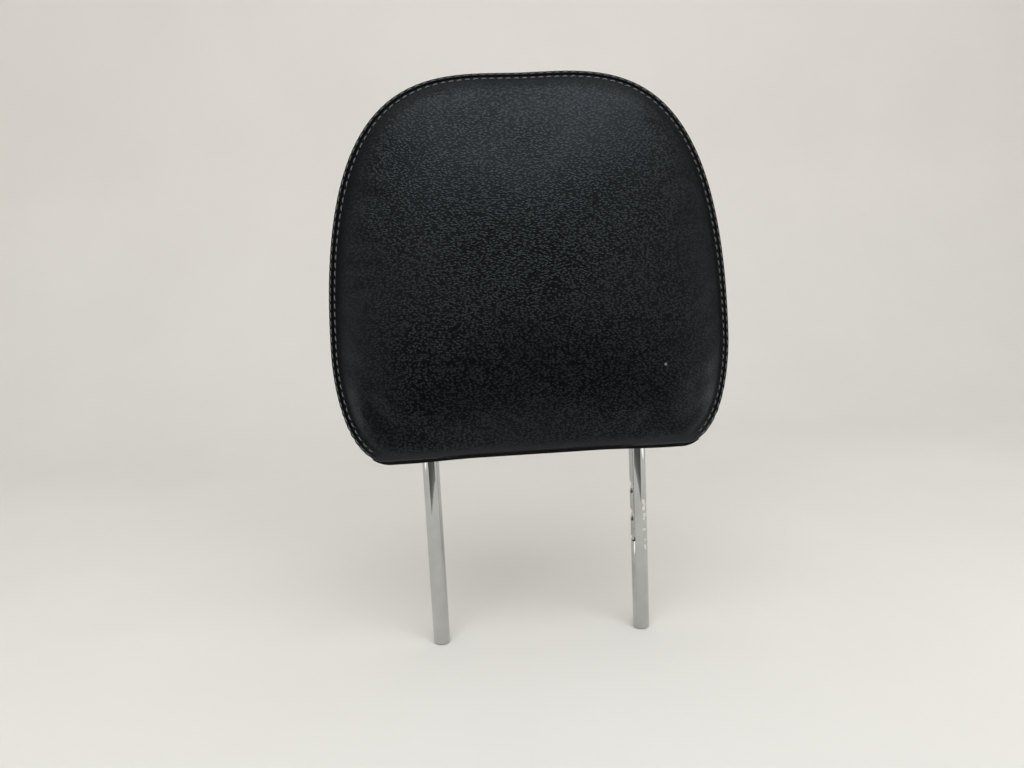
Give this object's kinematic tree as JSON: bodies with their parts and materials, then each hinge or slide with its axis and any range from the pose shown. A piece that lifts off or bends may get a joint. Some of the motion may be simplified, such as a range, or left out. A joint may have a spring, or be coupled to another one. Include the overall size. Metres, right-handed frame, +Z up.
{
  "type": "car headrest",
  "caption": "Car seat headrest: a domed, sewn black leather cushion with a twin-stitched face seam on a moulded base cover, carried by a chromed post frame with detent notches on one leg.",
  "frame": {"origin": "midway between the tips of the two posts", "axes": "+Z up along the posts, -Y the way the face of the cushion looks, +X to the right seen from the front"},
  "size_m": [0.2708, 0.0862, 0.3993],
  "materials": {
    "chrome": "bright chrome plate, with pale scuffs on one post",
    "leather": "black pebble-grain leather with a soft sheen",
    "thread": "light grey polyester sewing thread",
    "moulded_plastic": "black, finely textured",
    "hem_plastic": "extruded dark grey strip",
    "foam": "moulded polyurethane foam",
    "tape": "woven backing tape",
    "zinc": "zinc plated"
  },
  "bodies": {
    "root": {"post_frame": "chrome", "carrier_front_shell": "moulded_plastic", "carrier_rear_shell": "moulded_plastic", "carrier_screw_1": "zinc", "carrier_screw_2": "zinc", "carrier_screw_3": "zinc", "carrier_screw_4": "zinc", "carrier_screw_5": "zinc", "carrier_screw_6": "zinc", "foam_front_pad": "foam", "foam_rear_pad": "foam", "cover_front_panel": "leather", "cover_side_gusset": "leather", "cover_rear_panel": "leather", "seam_backing_tape": "tape", "front_hem_strip": "hem_plastic", "rear_hem_strip": "hem_plastic", "base_cover": "moulded_plastic", "base_screw_left": "zinc", "base_screw_right": "zinc"}
  },
  "joints": []
}
